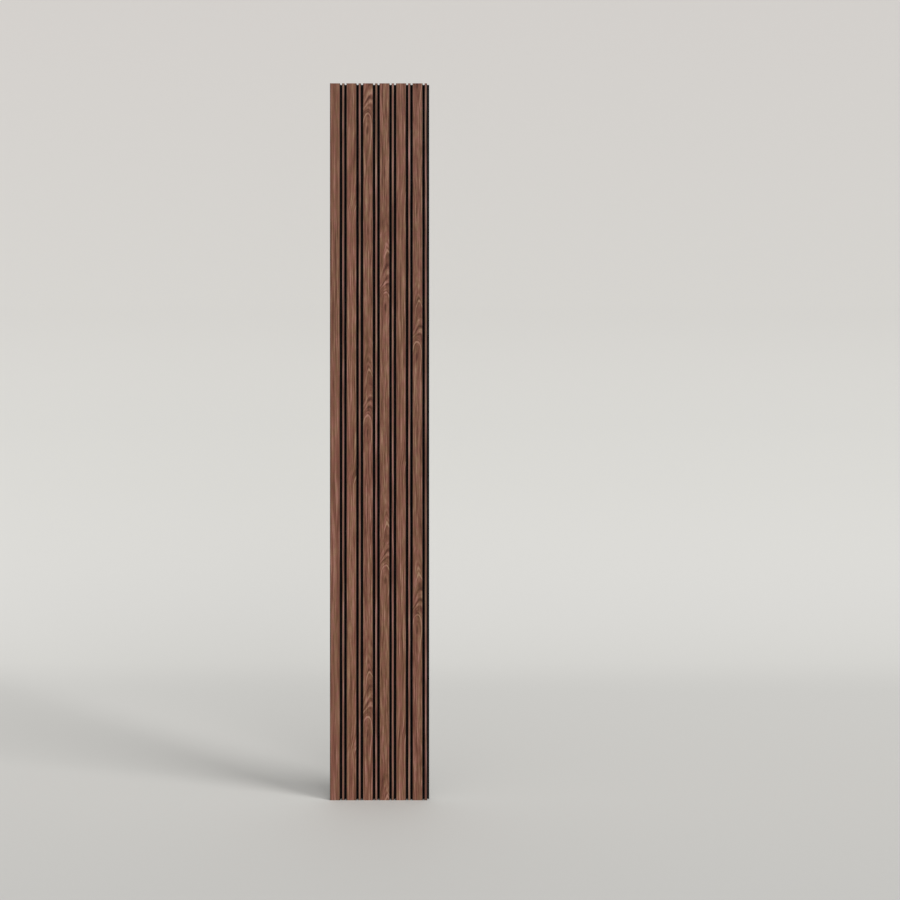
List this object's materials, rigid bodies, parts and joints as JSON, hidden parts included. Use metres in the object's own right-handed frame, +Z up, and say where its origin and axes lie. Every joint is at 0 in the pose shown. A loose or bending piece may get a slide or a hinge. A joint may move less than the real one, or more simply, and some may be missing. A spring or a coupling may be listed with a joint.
{
  "type": "acoustic slat wall panel",
  "caption": "Upright wall panel of walnut-veneered slats, wide and narrow by turns, on black fibreboard cores stapled to a sheet of black felt; it lines a wall and softens sound.",
  "frame": {"origin": "middle of the back face's bottom edge, where the wall meets the floor", "axes": "+Z up along the slats, +Y out of the felt's back into the wall, so the slats face -Y, and +X to the right as seen from the front"},
  "size_m": [0.3318, 0.021, 2.4],
  "materials": {
    "felt": "matte",
    "mdf_core": "matte",
    "walnut_veneer": "matte",
    "staple_steel": "satin"
  },
  "bodies": {
    "root": {"felt_backing": "felt", "staples": "staple_steel", "wide_slat_core_1": "mdf_core", "wide_slat_veneer_1": "walnut_veneer", "wide_slat_core_2": "mdf_core", "wide_slat_veneer_2": "walnut_veneer", "wide_slat_core_3": "mdf_core", "wide_slat_veneer_3": "walnut_veneer", "wide_slat_core_4": "mdf_core", "wide_slat_veneer_4": "walnut_veneer", "wide_slat_core_5": "mdf_core", "wide_slat_veneer_5": "walnut_veneer", "wide_slat_core_6": "mdf_core", "wide_slat_veneer_6": "walnut_veneer", "narrow_slat_core_1": "mdf_core", "narrow_slat_veneer_1": "walnut_veneer", "narrow_slat_core_2": "mdf_core", "narrow_slat_veneer_2": "walnut_veneer", "narrow_slat_core_3": "mdf_core", "narrow_slat_veneer_3": "walnut_veneer", "narrow_slat_core_4": "mdf_core", "narrow_slat_veneer_4": "walnut_veneer", "narrow_slat_core_5": "mdf_core", "narrow_slat_veneer_5": "walnut_veneer", "narrow_slat_core_6": "mdf_core", "narrow_slat_veneer_6": "walnut_veneer"}
  },
  "joints": []
}
